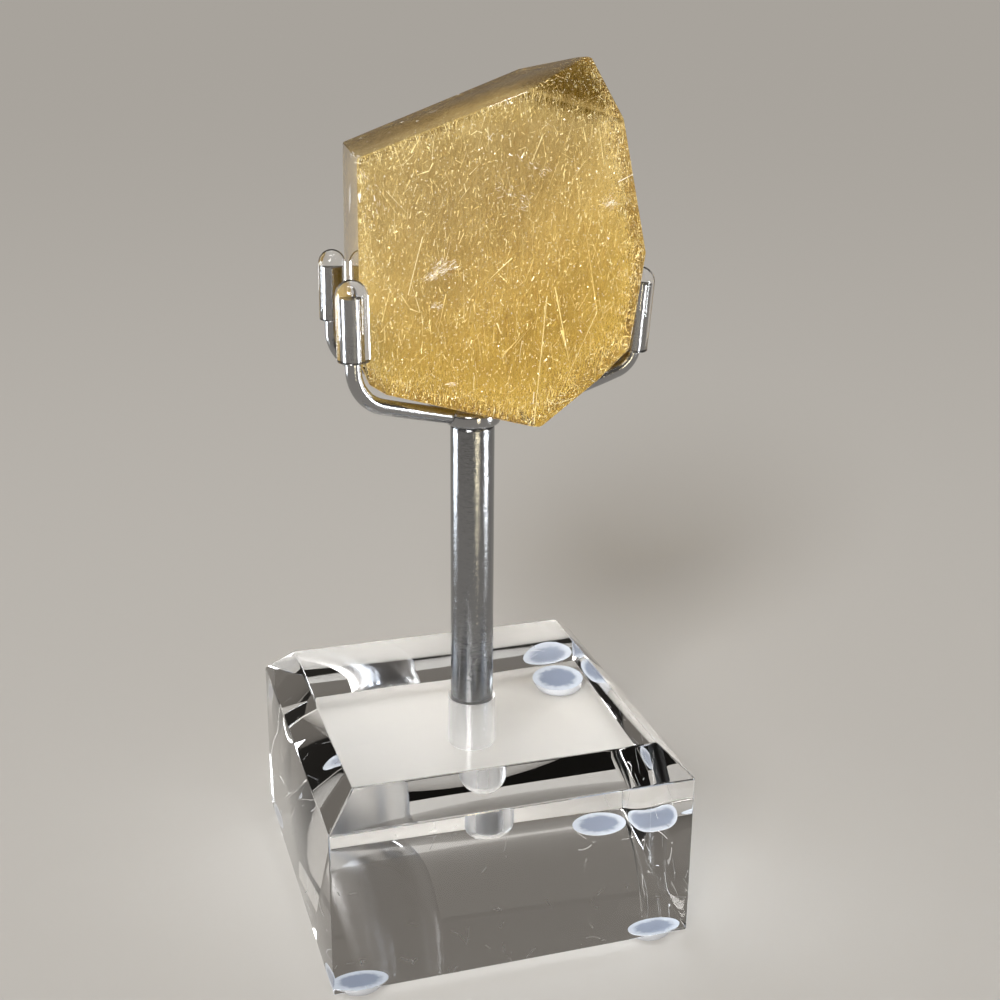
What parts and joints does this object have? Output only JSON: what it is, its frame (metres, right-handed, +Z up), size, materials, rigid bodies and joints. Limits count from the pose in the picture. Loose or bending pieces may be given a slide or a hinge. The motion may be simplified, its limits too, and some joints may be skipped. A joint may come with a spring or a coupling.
{
  "type": "rutilated quartz freeform",
  "caption": "Polished golden rutilated quartz freeform held upright by bent steel prongs with clear caps, on a steel post in a chamfered clear block with domed feet.",
  "frame": {"origin": "on the surface the object stands on, under the middle of the clear block, which is the bottom centre of the whole object's box to within 0.7 mm", "axes": "+Z up along the post, +X along the block's front edge to the right as the stone's broad face is seen, +Y towards the back"},
  "size_m": [0.0513, 0.05, 0.1183],
  "materials": {
    "quartz": "polished golden crystal, dense with fine rutile needles",
    "acrylic": "polished clear acrylic, frosted inside the bore",
    "post_steel": "polished steel rod with fine lengthwise grain",
    "wire_steel": "bright polished steel wire",
    "vinyl": "clear soft vinyl, glossy",
    "bumper": "clear soft rubber, slightly frosted"
  },
  "bodies": {
    "root": {"quartz": "quartz", "block": "acrylic", "foot_front_left": "bumper", "foot_front_right": "bumper", "foot_back_left": "bumper", "foot_back_right": "bumper", "post": "post_steel", "hub": "wire_steel", "prong_front_left": "wire_steel", "cap_front_left": "vinyl", "prong_back_left": "wire_steel", "cap_back_left": "vinyl", "prong_right": "wire_steel", "cap_right": "vinyl"}
  },
  "joints": []
}
